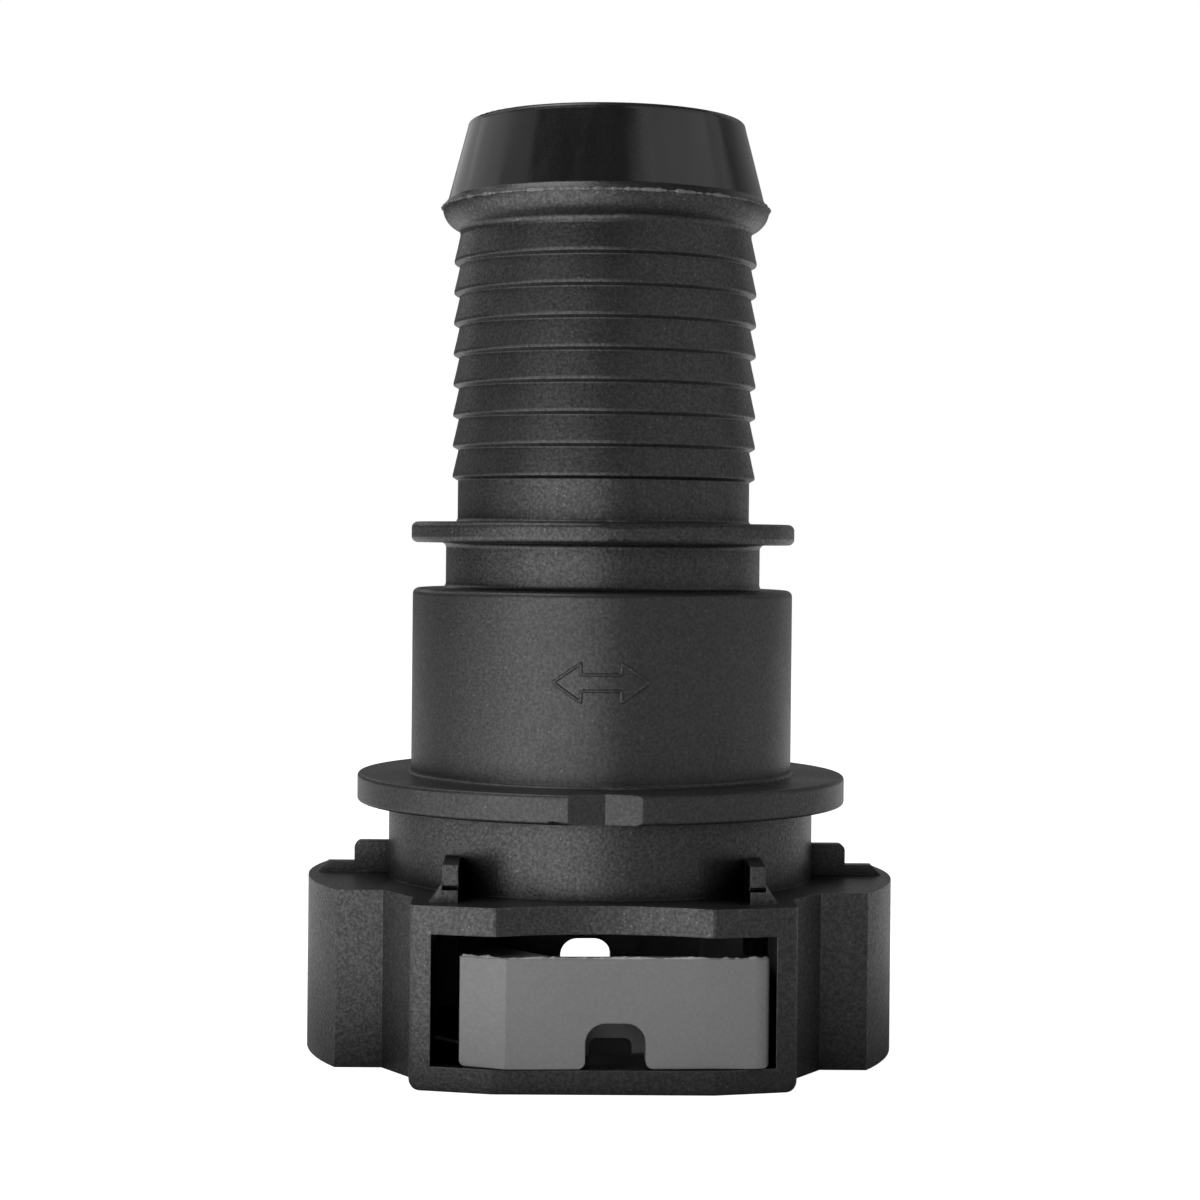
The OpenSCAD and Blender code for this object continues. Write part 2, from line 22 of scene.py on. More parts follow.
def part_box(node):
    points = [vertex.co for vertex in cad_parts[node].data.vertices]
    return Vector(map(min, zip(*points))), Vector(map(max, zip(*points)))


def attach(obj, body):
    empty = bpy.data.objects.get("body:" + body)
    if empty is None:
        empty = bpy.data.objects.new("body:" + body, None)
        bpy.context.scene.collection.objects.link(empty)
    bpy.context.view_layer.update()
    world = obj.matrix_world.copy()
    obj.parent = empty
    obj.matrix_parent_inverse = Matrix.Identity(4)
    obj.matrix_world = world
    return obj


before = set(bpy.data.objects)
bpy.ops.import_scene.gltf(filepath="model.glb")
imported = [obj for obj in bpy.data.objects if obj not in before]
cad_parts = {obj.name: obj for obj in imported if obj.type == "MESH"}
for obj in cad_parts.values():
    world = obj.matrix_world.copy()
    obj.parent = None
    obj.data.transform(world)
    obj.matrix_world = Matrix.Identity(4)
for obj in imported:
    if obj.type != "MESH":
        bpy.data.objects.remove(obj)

LOG = logging.getLogger("connector")
MM = 0.001
UP = Vector((0.0, 0.0, 1.0))

Socket = bpy.types.NodeSocket
Colour = tuple[float, float, float, float]
Value = Union[Socket, float, Colour]


class Body(Enum):
    """The moving bodies that a piece can ride on."""

    SHELL = "shell"
    CLIP = "clip"


class Slot(Enum):
    """The record's material slots."""

    BODY = "body_nylon"
    CLIP = "clip_nylon"
    SEAL = "seal_rubber"
    SPACER = "spacer_nylon"
    KEEPER = "keeper_nylon"


class Input(Enum):
    """Kinds of socket on a node group's face."""

    FLOAT = "NodeSocketFloat"
    INTEGER = "NodeSocketInt"
    VECTOR = "NodeSocketVector"
    GEOMETRY = "NodeSocketGeometry"


class Op(Enum):
    """Operations of a Math node."""

    ADD = "ADD"
    SUBTRACT = "SUBTRACT"
    MULTIPLY = "MULTIPLY"
    DIVIDE = "DIVIDE"
    POWER = "POWER"
    SQRT = "SQRT"
    ABSOLUTE = "ABSOLUTE"
    MAXIMUM = "MAXIMUM"
    LESS_THAN = "LESS_THAN"
    ARCTAN2 = "ARCTAN2"


class Sheet:
    """A node tree that is being drawn up, with short ways to add and join nodes."""

    MIX_SHARE = 0
    MIX_A = 6
    MIX_B = 7
    MIX_COLOUR = 2

    def __init__(self, tree: bpy.types.NodeTree) -> None:
        """Starts with an empty tree."""
        self.tree = tree
        tree.nodes.clear()

    def add(self, kind: str, **settings: object) -> bpy.types.Node:
        """Adds a node.

        Args:
            kind: The node's type name.
            settings: Properties to set on it.

        Returns:
            The new node.
        """
        node = self.tree.nodes.new(kind)
        for name, value in settings.items():
            setattr(node, name, value)
        return node

    def join(self, source: Socket, target: Socket) -> None:
        """Links two sockets."""
        self.tree.links.new(source, target)

    def feed(self, target: Socket, value: Value) -> None:
        """Gives a socket its value.

        Args:
            target: The socket to feed.
            value: A socket, which is linked, or a plain value, which is written.
        """
        if isinstance(value, bpy.types.NodeSocket):
            self.join(value, target)
        else:
            target.default_value = value

    def maths(self, op: Op, a: Value, b: Value = 0.0) -> Socket:
        """Adds a Math node.

        Args:
            op: The node's operation.
            a: First operand, a socket or a number.
            b: Second operand, a socket or a number.

        Returns:
            The result's socket.
        """
        node = self.add("ShaderNodeMath", operation=op.value)
        self.feed(node.inputs[0], a)
        self.feed(node.inputs[1], b)
        return node.outputs[0]

    def ramp(self, value: Socket, low: float, high: float,
             out_low: float = 0.0, out_high: float = 1.0) -> Socket:
        """Adds a smooth Map Range node.

        Args:
            value: The input.
            low: Input that gives out_low.
            high: Input that gives out_high, above or below low.
            out_low: Result at low and beyond it.
            out_high: Result at high and beyond it.

        Returns:
            The result's socket.
        """
        node = self.add("ShaderNodeMapRange", interpolation_type="SMOOTHSTEP", clamp=True)
        self.feed(node.inputs["Value"], value)
        node.inputs["From Min"].default_value = low
        node.inputs["From Max"].default_value = high
        node.inputs["To Min"].default_value = out_low
        node.inputs["To Max"].default_value = out_high
        return node.outputs["Result"]

    def noise(self, vector: Socket, scale: Value, detail: float = 2.0, rough: float = 0.5) -> Socket:
        """Adds a Noise node.

        Args:
            vector: The place at which the noise is read.
            scale: Cycles for each unit of the vector, a socket or a number.
            detail: Number of finer layers.
            rough: Strength of each finer layer.

        Returns:
            The noise's socket, from 0 to 1.
        """
        node = self.add("ShaderNodeTexNoise")
        self.feed(node.inputs["Vector"], vector)
        self.feed(node.inputs["Scale"], scale)
        node.inputs["Detail"].default_value = detail
        node.inputs["Roughness"].default_value = rough
        return node.outputs["Fac"]

    def axis(self, vector: Socket, name: str) -> Socket:
        """Takes one component of a vector.

        Args:
            vector: The vector's socket.
            name: X, Y or Z.

        Returns:
            The component's socket.
        """
        node = self.add("ShaderNodeSeparateXYZ")
        self.join(vector, node.inputs[0])
        return node.outputs[name]

    def mix(self, share: Value, a: Value, b: Value) -> Socket:
        """Adds a colour Mix node, whose sockets repeat their names and are found by number.

        Args:
            share: How much of b shows.
            a: First colour, a socket or four numbers.
            b: Second colour, a socket or four numbers.

        Returns:
            The mixed colour's socket.
        """
        node = self.add("ShaderNodeMix", data_type="RGBA")
        self.feed(node.inputs[self.MIX_SHARE], share)
        self.feed(node.inputs[self.MIX_A], a)
        self.feed(node.inputs[self.MIX_B], b)
        return node.outputs[self.MIX_COLOUR]

    def group(self, tree: bpy.types.NodeTree, **values: Value) -> bpy.types.Node:
        """Places a shader node group.

        Args:
            tree: The group.
            values: What feeds its inputs, which are named here with underscores for spaces.

        Returns:
            The group's node.
        """
        node = self.add("ShaderNodeGroup", node_tree=tree)
        for name, value in values.items():
            self.feed(node.inputs[name.replace("_", " ").capitalize()], value)
        return node


def grey(level: float) -> Colour:
    """A neutral colour."""
    return (level, level, level, 1.0)


class SharedGroup:
    """A shader node group that several finishes place."""

    NAME = ""
    INPUTS: dict[str, Input] = {}
    OUTPUTS: dict[str, Input] = {}

    @classmethod
    def tree(cls) -> bpy.types.NodeTree:
        """Returns the group, which is built once."""
        return bpy.data.node_groups.get(cls.NAME) or cls._build()

    @classmethod
    def _build(cls) -> bpy.types.NodeTree:
        """Builds the group.

        Returns:
            The group's tree.
        """
        tree = bpy.data.node_groups.new(cls.NAME, "ShaderNodeTree")
        for way, sockets in (("INPUT", cls.INPUTS), ("OUTPUT", cls.OUTPUTS)):
            for name, kind in sockets.items():
                tree.interface.new_socket(name, in_out=way, socket_type=kind.value)
        sheet = Sheet(tree)
        given = sheet.add("NodeGroupInput").outputs
        gives = sheet.add("NodeGroupOutput").inputs
        cls._draw(sheet, given, gives)
        return tree

    @classmethod
    def _draw(cls, sheet: Sheet, given: bpy.types.NodeOutputs, gives: bpy.types.NodeInputs) -> None:
        """Draws up what lies between the group's inputs and outputs.

        Args:
            sheet: The group's tree.
            given: The sockets that bring the group's inputs.
            gives: The sockets that take the group's outputs.
        """
        raise NotImplementedError(cls.NAME)


class GrainGroup(SharedGroup):
    """Shader group: the fine spark-eroded grain that a mould leaves on nylon, with pale glass flecks."""

    NAME = "MouldGrain"
    INPUTS = {"Vector": Input.VECTOR, "Grain scale": Input.FLOAT, "Fleck scale": Input.FLOAT,
              "Fleck share": Input.FLOAT}
    OUTPUTS = {name: Input.FLOAT for name in ("Height", "Speck", "Fleck", "Cloud")}
    HEIGHT_DETAIL = 1.5
    HEIGHT_ROUGH = 0.6
    SPECK_FINER = 1.2
    SPECK_DETAIL = 1.3
    SPECK_ROUGH = 0.7
    SPECK_BAND = (0.3, 0.72)
    FLECK_BAND = (0.22, 0.08)
    CLOUD_SCALE = 160.0
    CLOUD_DETAIL = 3.0
    CLOUD_BAND = (0.3, 0.7)

    @classmethod
    def _draw(cls, sheet: Sheet, given: bpy.types.NodeOutputs, gives: bpy.types.NodeInputs) -> None:
        """Draws up the grain's height, its bright specks, the glass flecks and the slow clouds of tone.

        Args:
            sheet: The group's tree.
            given: The sockets that bring the group's inputs.
            gives: The sockets that take the group's outputs.
        """
        place, scale = given["Vector"], given["Grain scale"]
        sheet.join(sheet.noise(place, scale, cls.HEIGHT_DETAIL, cls.HEIGHT_ROUGH), gives["Height"])
        finer = sheet.maths(Op.MULTIPLY, scale, cls.SPECK_FINER)
        speck = sheet.noise(place, finer, cls.SPECK_DETAIL, cls.SPECK_ROUGH)
        sheet.join(sheet.ramp(speck, *cls.SPECK_BAND), gives["Speck"])
        cells = sheet.add("ShaderNodeTexVoronoi", feature="F1")
        sheet.join(place, cells.inputs["Vector"])
        sheet.join(given["Fleck scale"], cells.inputs["Scale"])
        core = sheet.ramp(cells.outputs["Distance"], *cls.FLECK_BAND)
        pick = sheet.add("ShaderNodeSeparateColor")
        sheet.join(cells.outputs["Color"], pick.inputs[0])
        chosen = sheet.maths(Op.LESS_THAN, pick.outputs[0], given["Fleck share"])
        sheet.join(sheet.maths(Op.MULTIPLY, core, chosen), gives["Fleck"])
        cloud = sheet.noise(place, cls.CLOUD_SCALE, cls.CLOUD_DETAIL)
        sheet.join(sheet.ramp(cloud, *cls.CLOUD_BAND), gives["Cloud"])


class EdgeGroup(SharedGroup):
    """Shader group: a mask of paler edges, partly wear and partly a painted highlight, from how far the
    rounded normal leans off the face's own.
    """

    NAME = "EdgeWearAndHighlight"
    INPUTS = {"Rounded": Input.VECTOR, "Flat": Input.VECTOR, "Vector": Input.VECTOR,
              "Patch scale": Input.FLOAT}
    OUTPUTS = {"Wear and highlight": Input.FLOAT}
    LEAN_BAND = (0.995, 0.8)
    PATCH_DETAIL = 3.0
    PATCH_BAND = (0.35, 0.65)
    PATCH_LEAST = 0.35

    @classmethod
    def _draw(cls, sheet: Sheet, given: bpy.types.NodeOutputs, gives: bpy.types.NodeInputs) -> None:
        """Draws up the wear and painted highlight, which come and go in patches along an edge.

        Args:
            sheet: The group's tree.
            given: The sockets that bring the group's inputs.
            gives: The sockets that take the group's outputs.
        """
        dot = sheet.add("ShaderNodeVectorMath", operation="DOT_PRODUCT")
        sheet.join(given["Rounded"], dot.inputs[0])
        sheet.join(given["Flat"], dot.inputs[1])
        lean = sheet.ramp(dot.outputs["Value"], *cls.LEAN_BAND)
        uneven = sheet.noise(given["Vector"], given["Patch scale"], cls.PATCH_DETAIL)
        patch = sheet.ramp(uneven, *cls.PATCH_BAND, cls.PATCH_LEAST)
        sheet.join(sheet.maths(Op.MULTIPLY, lean, patch), gives["Wear and highlight"])


@dataclass(frozen=True)
class Finish:
    """A moulded surface: colour, gloss, grain, edges, and painted shade in cavities and creases.

    Lengths are in metres and scales in cycles per metre. What is open or shut is a share of free air.
    """

    name: str
    dark: float
    pale: float
    roughness: float
    roughness_swing: float
    grain_scale: float
    grain_depth: float
    fleck_scale: float = 2600.0
    fleck_share: float = 0.0
    glint: float = 0.5
    edge_radius: float = 0.15 * MM
    edge_samples: int = 6
    # Paler edges: partly wear, partly a painted highlight.
    wear_and_highlight_level: float = 0.1
    wear_and_highlight_share: float = 0.0
    patch_scale: float = 900.0
    specular: float = 0.38
    speckle: float = 0.5
    # Painted shade in cavities and creases, found by ambient occlusion: it darkens the colour and dulls the
    # gloss.
    cavity_samples: int = 6
    cavity_reach: float = 14.0 * MM
    cavity_open: float = 0.5
    cavity_shut: float = 0.2
    cavity_painted_shade: float = 1.0
    painted_shade_level: float = 0.005
    crease_samples: int = 4
    crease_reach: float = 1.0 * MM
    crease_open: float = 0.62
    crease_shut: float = 0.2
    crease_painted_shade: float = 0.65

    def build(self) -> bpy.types.Material:
        """Draws up the finish.

        Returns:
            The finish as a material.
        """
        material = bpy.data.materials.new(self.name)
        material.use_nodes = True
        sheet = Sheet(material.node_tree)
        shader = sheet.add("ShaderNodeBsdfPrincipled")
        output = sheet.add("ShaderNodeOutputMaterial")
        sheet.join(shader.outputs[0], output.inputs["Surface"])
        place = sheet.add("ShaderNodeTexCoord").outputs["Object"]
        grain = sheet.group(GrainGroup.tree(), vector=place, grain_scale=self.grain_scale,
                            fleck_scale=self.fleck_scale, fleck_share=self.fleck_share)
        rounded = sheet.add("ShaderNodeBevel", samples=self.edge_samples)
        rounded.inputs["Radius"].default_value = self.edge_radius
        colour = self.colour_with_wear_and_highlight(sheet, place, grain, rounded.outputs[0])
        gloss, depth = self.gloss(sheet, place, grain)
        sheet.join(gloss, shader.inputs["Roughness"])
        sheet.feed(shader.inputs["Specular IOR Level"], self.shine(sheet, place))
        shader.inputs["Coat Roughness"].default_value = self.roughness
        speck = sheet.maths(Op.MULTIPLY, grain.outputs["Speck"], self.speckle)
        glint = sheet.maths(Op.MULTIPLY, grain.outputs["Fleck"], self.glint)
        # Painted shade: the cavity and crease mask darkens the base colour, thins the coat and dulls the
        # gloss through Metallic.
        closed = self.closed(sheet, place)
        free_of_painted_shade = sheet.maths(Op.SUBTRACT, 1.0, closed)
        sheet.join(sheet.mix(closed, colour, grey(self.painted_shade_level)), shader.inputs["Base Color"])
        skin = sheet.maths(Op.MULTIPLY, sheet.maths(Op.ADD, speck, glint), free_of_painted_shade)
        sheet.join(sheet.maths(Op.MULTIPLY, skin, depth), shader.inputs["Coat Weight"])
        sheet.join(closed, shader.inputs["Metallic"])
        bump = sheet.add("ShaderNodeBump")
        bump.inputs["Distance"].default_value = self.grain_depth
        bump.inputs["Strength"].default_value = 1.0
        sheet.join(sheet.maths(Op.MULTIPLY, grain.outputs["Height"], depth), bump.inputs["Height"])
        sheet.join(rounded.outputs[0], bump.inputs["Normal"])
        sheet.join(bump.outputs[0], shader.inputs["Normal"])
        return material

    def colour_with_wear_and_highlight(self, sheet: Sheet, place: Socket, grain: bpy.types.Node, rounded: Socket) -> Socket:
        """Draws up the colour, cloudy all over and paler along edges, partly as wear and partly as a painted
        highlight.

        Args:
            sheet: The material's tree.
            place: Object coordinates.
            grain: The placed grain group.
            rounded: The normal with its edges rounded.

        Returns:
            The colour's socket.
        """
        face = sheet.add("ShaderNodeNewGeometry")
        edge = sheet.group(EdgeGroup.tree(), rounded=rounded, flat=face.outputs["Normal"], vector=place,
                           patch_scale=self.patch_scale)
        colour = sheet.mix(grain.outputs["Cloud"], grey(self.dark), grey(self.pale))
        colour = self.tint(sheet, place, colour)
        wear_and_highlight = sheet.maths(Op.MULTIPLY, edge.outputs["Wear and highlight"], self.wear_and_highlight_share)
        return sheet.mix(wear_and_highlight, colour, grey(self.wear_and_highlight_level))

    def closed(self, sheet: Sheet, place: Socket) -> Socket:
        """Draws up the mask of painted shade in deep cavities and tight creases.

        Args:
            sheet: The material's tree.
            place: Object coordinates.

        Returns:
            The mask's socket, 1 where the painted shade is fullest.
        """
        cavity = sheet.add("ShaderNodeAmbientOcclusion", samples=self.cavity_samples)
        cavity.inputs["Distance"].default_value = self.cavity_reach
        deep = sheet.ramp(cavity.outputs["AO"], self.cavity_open, self.cavity_shut)
        deep = sheet.maths(Op.MULTIPLY, deep, self.painted_cavity_shade(sheet, place))
        crease = sheet.add("ShaderNodeAmbientOcclusion", samples=self.crease_samples)
        crease.inputs["Distance"].default_value = self.crease_reach
        painted_crease_shade = sheet.ramp(crease.outputs["AO"], self.crease_open, self.crease_shut, 0.0, self.crease_painted_shade)
        return sheet.maths(Op.MAXIMUM, deep, painted_crease_shade)

    def tint(self, sheet: Sheet, place: Socket, colour: Socket) -> Socket:
        """Changes the colour from place to place; a plain finish keeps it."""
        return colour

    def shine(self, sheet: Sheet, place: Socket) -> Value:
        """Returns the specular level, a number or a socket."""
        return self.specular

    def painted_cavity_shade(self, sheet: Sheet, place: Socket) -> Value:
        """Returns the strength of the painted shade in deep cavities, a number or a socket."""
        return self.cavity_painted_shade

    def gloss(self, sheet: Sheet, place: Socket, grain: bpy.types.Node) -> tuple[Socket, Value]:
        """Draws up the roughness and how deep the grain is.

        Args:
            sheet: The material's tree.
            place: Object coordinates, not used here.
            grain: The placed grain group.

        Returns:
            The roughness socket, and the grain's depth factor as a socket or number.
        """
        low, high = self.roughness - self.roughness_swing, self.roughness + self.roughness_swing
        return sheet.ramp(grain.outputs["Cloud"], 0.0, 1.0, low, high), 1.0


@dataclass(frozen=True)
class BodyFinish(Finish):
    """The body's black nylon: grained, etched matt on the housing, and polished on the lead-in cone."""

    polish_from: float = 54.5 * MM
    polish_to: float = 55.1 * MM
    polished_roughness: float = 0.17
    polished_grain: float = 0.1
    polished_specular: float = 0.52
    matt_from: float = 15.8 * MM
    matt_to: float = 29.5 * MM
    matt_fade: float = 0.2 * MM
    matt_level: float = 0.016
    matt_grain: float = 0.6
    streak_scale: float = 800.0
    streak_stretch: float = 0.02
    streak_detail: float = 2.0
    streak_band: tuple[float, float] = (0.3, 0.7)
    streak_shifts: tuple[float, float] = (-0.04, 0.05)

    def gloss(self, sheet: Sheet, place: Socket, grain: bpy.types.Node) -> tuple[Socket, Value]:
        """Draws up the roughness and the grain's depth, with faint draw streaks in the polished zone.

        Args:
            sheet: The material's tree.
            place: Object coordinates.
            grain: The placed grain group.

        Returns:
            The roughness socket, and the socket of the grain's depth factor.
        """
        base, _ = super().gloss(sheet, place, grain)
        zone = self.polish_zone(sheet, place)
        stretch = sheet.add("ShaderNodeMapping")
        stretch.inputs["Scale"].default_value = (1.0, 1.0, self.streak_stretch)
        sheet.join(place, stretch.inputs["Vector"])
        streak = sheet.noise(stretch.outputs[0], self.streak_scale, self.streak_detail)
        smoothest, roughest = (self.polished_roughness + shift for shift in self.streak_shifts)
        polished = sheet.ramp(streak, *self.streak_band, smoothest, roughest)
        gap = sheet.maths(Op.SUBTRACT, polished, base)
        gloss = sheet.maths(Op.ADD, base, sheet.maths(Op.MULTIPLY, gap, zone))
        depth = sheet.maths(Op.SUBTRACT, 1.0, sheet.maths(Op.MULTIPLY, zone, 1.0 - self.polished_grain))
        calm = sheet.maths(Op.MULTIPLY, self.matt_zone(sheet, place), 1.0 - self.matt_grain)
        return gloss, sheet.maths(Op.SUBTRACT, depth, calm)

    def polish_zone(self, sheet: Sheet, place: Socket) -> Socket:
        """Draws up the mask of the polished lead-in cone."""
        return sheet.ramp(sheet.axis(place, "Z"), self.polish_from, self.polish_to)

    def shine(self, sheet: Sheet, place: Socket) -> Value:
        """Draws up the specular level, which is higher on the polished cone."""
        extra = sheet.maths(Op.MULTIPLY, self.polish_zone(sheet, place),
                            self.polished_specular - self.specular)
        return sheet.maths(Op.ADD, extra, self.specular)

    def tint(self, sheet: Sheet, place: Socket, colour: Socket) -> Socket:
        """Makes the flange and the housing greyer, where the mould is etched matt."""
        return sheet.mix(self.matt_zone(sheet, place), colour, grey(self.matt_level))

    def matt_zone(self, sheet: Sheet, place: Socket) -> Socket:
        """Draws up the mask of the matt zone, from the flange to the housing's top.

        Args:
            sheet: The material's tree.
            place: Object coordinates.

        Returns:
            The mask's socket.
        """
        height = sheet.axis(place, "Z")
        above = sheet.ramp(height, self.matt_from - self.matt_fade, self.matt_from)
        below = sheet.ramp(height, self.matt_to + self.matt_fade, self.matt_to)
        return sheet.maths(Op.MULTIPLY, above, below)


@dataclass(frozen=True)
class ClipFinish(Finish):
    """The clip's grey nylon, whose painted cavity shade is weaker in its middle, behind the tab's notch."""

    # Painted shade: weak within the first half width of the middle, full beyond the second.
    weak_shade_half_width: float = 4.0 * MM
    full_shade_half_width: float = 6.0 * MM
    middle_painted_shade: float = 0.1

    def painted_cavity_shade(self, sheet: Sheet, place: Socket) -> Value:
        """Draws up the strength of the painted cavity shade, which is small behind the notch and full beside
        the tabs.
        """
        side = sheet.maths(Op.ABSOLUTE, sheet.axis(place, "X"))
        return sheet.ramp(side, self.weak_shade_half_width, self.full_shade_half_width, self.middle_painted_shade, self.cavity_painted_shade)


FINISHES: dict[Slot, Finish] = {
    Slot.BODY: BodyFinish(name="black_glass_nylon", dark=0.010, pale=0.014, roughness=0.38,
                          roughness_swing=0.03, grain_scale=4400.0, grain_depth=0.026 * MM, specular=0.36,
                          speckle=0.72, fleck_share=0.3, glint=1.2, edge_radius=0.12 * MM, wear_and_highlight_share=0.8,
                          wear_and_highlight_level=0.11),
    Slot.CLIP: ClipFinish(name="grey_clip_nylon", dark=0.185, pale=0.205, roughness=0.5,
                          roughness_swing=0.04, grain_scale=4200.0, grain_depth=0.018 * MM, specular=0.75,
                          speckle=0.8, fleck_share=0.1, glint=0.3, edge_radius=0.12 * MM, wear_and_highlight_share=0.4,
                          wear_and_highlight_level=0.3, cavity_open=0.42, cavity_shut=0.16),
    Slot.SEAL: Finish(name="greased_rubber", dark=0.012, pale=0.02, roughness=0.3, roughness_swing=0.08,
                      grain_scale=2200.0, grain_depth=0.008 * MM, edge_radius=0.05 * MM),
    Slot.SPACER: Finish(name="natural_nylon", dark=0.52, pale=0.6, roughness=0.42, roughness_swing=0.04,
                        grain_scale=4200.0, grain_depth=0.006 * MM, edge_radius=0.1 * MM),
    Slot.KEEPER: Finish(name="smooth_keeper_nylon", dark=0.02, pale=0.028, roughness=0.34,
                        roughness_swing=0.04, grain_scale=4200.0, grain_depth=0.006 * MM,
                        edge_radius=0.1 * MM),
}
# The flash's pale colour is partly the thin plastic's own and partly a painted highlight along the bead.
THIN_FLASH = Finish(name="thin_flash", dark=0.04, pale=0.2, roughness=0.45, roughness_swing=0.05,
                    grain_scale=4700.0, grain_depth=0.01 * MM, specular=0.7, edge_radius=0.03 * MM,
                    crease_painted_shade=0.0)
# The burr's pale grey is partly torn plastic's own and partly a painted highlight along the tabs' upper edge.
TORN_BURR = Finish(name="torn_burr", dark=0.24, pale=0.5, roughness=0.5, roughness_swing=0.05,
                   grain_scale=4200.0, grain_depth=0.01 * MM, edge_radius=0.03 * MM, cavity_painted_shade=0.0,
                   crease_painted_shade=0.0)


class Wardrobe:
    """The finishes of the connector as materials, each built once."""

    def __init__(self) -> None:
        """Starts with no material built."""
        self.materials: dict[str, bpy.types.Material] = {}

    def material(self, finish: Finish) -> bpy.types.Material:
        """Looks a finish's material up, and builds it the first time.

        Args:
            finish: The finish that is wanted.

        Returns:
            Its material.
        """
        if finish.name not in self.materials:
            self.materials[finish.name] = finish.build()
        return self.materials[finish.name]

    def dress(self, piece: bpy.types.Object, slot: Slot) -> None:
        """Puts its slot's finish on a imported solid.

        Args:
            piece: The solid.
            slot: The solid's slot.
        """
        material = self.material(FINISHES[slot])
        for place in piece.material_slots:
            place.material = material


def new_piece(name: str, data: bpy.types.ID) -> bpy.types.Object:
    """Links a mesh or a curve into the scene.

    Args:
        name: The new object's name.
        data: Its mesh or curve.

    Returns:
        The new object.
    """
    piece = bpy.data.objects.new(name, data)
    bpy.context.scene.collection.objects.link(piece)
    return piece


def settle(piece: bpy.types.Object, body: Body) -> bpy.types.Object:
    """Rides a finished piece on its body and reports it.

    Args:
        piece: The piece.
        body: The body that it moves with.

    Returns:
        The same piece.
    """
    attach(piece, body.value)
    LOG.info("%s: %d faces, rides on %s", piece.name, len(piece.data.polygons), body.value)
    return piece


def tidy_mesh(mesh: bpy.types.Mesh, merge: float, smooth: float) -> None:
    """Merges doubles, turns all faces outwards and shades smooth below an angle.

    Args:
        mesh: The mesh to change.
        merge: Distance below which points are merged.
        smooth: Edges sharper than this many degrees stay sharp.
    """
    work = bmesh.new()
    work.from_mesh(mesh)
    bmesh.ops.remove_doubles(work, verts=work.verts, dist=merge)
    bmesh.ops.recalc_face_normals(work, faces=work.faces)
    work.to_mesh(mesh)
    work.free()
    mesh.polygons.foreach_set("use_smooth", [True] * len(mesh.polygons))
    mesh.set_sharp_from_angle(angle=math.radians(smooth))


class GeometryTree:
    """A Geometry Nodes tree with named inputs, run once on a carrier and turned into a plain mesh."""

    def __init__(self, name: str) -> None:
        """Starts an empty tree with a geometry output.

        Args:
            name: The tree's name.
        """
        self.tree = bpy.data.node_groups.new(name, "GeometryNodeTree")
        self.tree.interface.new_socket("Geometry", in_out="OUTPUT", socket_type=Input.GEOMETRY.value)
        self.sheet = Sheet(self.tree)
        self.given = self.sheet.add("NodeGroupInput")
        self.gives = self.sheet.add("NodeGroupOutput")
        self.values: dict[str, float] = {}

    def input(self, name: str, kind: Input, value: float) -> Socket:
        """Adds a named input with the value that this run gives it.

        Args:
            name: The input's name.
            kind: Its kind.
            value: Its value.

        Returns:
            The input's socket inside the tree.
        """
        item = self.tree.interface.new_socket(name, in_out="INPUT", socket_type=kind.value)
        self.values[item.identifier] = value
        return self.given.outputs[name]

    def finish(self, geometry: Socket, material: bpy.types.Material) -> None:
        """Ends the tree in Realize Instances and Set Material.

        Args:
            geometry: The socket that brings the finished shape.
            material: The shape's material.
        """
        real = self.sheet.add("GeometryNodeRealizeInstances")
        dress = self.sheet.add("GeometryNodeSetMaterial")
        dress.inputs["Material"].default_value = material
        self.sheet.join(geometry, real.inputs[0])
        self.sheet.join(real.outputs[0], dress.inputs["Geometry"])
        self.sheet.join(dress.outputs[0], self.gives.inputs["Geometry"])

    def run(self, name: str) -> bpy.types.Object:
        """Evaluates the tree on a carrier, which is then removed.

        Args:
            name: The new piece's name.

        Returns:
            The result as a plain piece.
        """
        carrier = new_piece(name + "_carrier", bpy.data.meshes.new(name + "_carrier"))
        modifier = carrier.modifiers.new("Build", "NODES")
        modifier.node_group = self.tree
        for identifier, value in self.values.items():
            modifier[identifier] = value
        graph = bpy.context.evaluated_depsgraph_get()
        mesh = bpy.data.meshes.new_from_object(carrier.evaluated_get(graph))
        carrier.modifiers.clear()
        bpy.data.objects.remove(carrier)
        mesh.name = name
        return new_piece(name, mesh)


@dataclass
class Solids:
    """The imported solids, which stay as they are and get their finishes."""

    slots: dict[str, Slot] = field(default_factory=lambda: {
        "connector_body": Slot.BODY,
        "retainer_clip": Slot.CLIP,
        "o_ring_lower": Slot.SEAL,
        "o_ring_upper": Slot.SEAL,
        "spacer_ring": Slot.SPACER,
        "seal_keeper": Slot.KEEPER,
    })

    def dress(self, wardrobe: Wardrobe) -> None:
        """Puts each solid's finish on it.

        Args:
            wardrobe: Where the materials come from.
        """
        for name, slot in self.slots.items():
            wardrobe.dress(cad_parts[name], slot)
            LOG.info("%s: dressed in %s", name, slot.value)


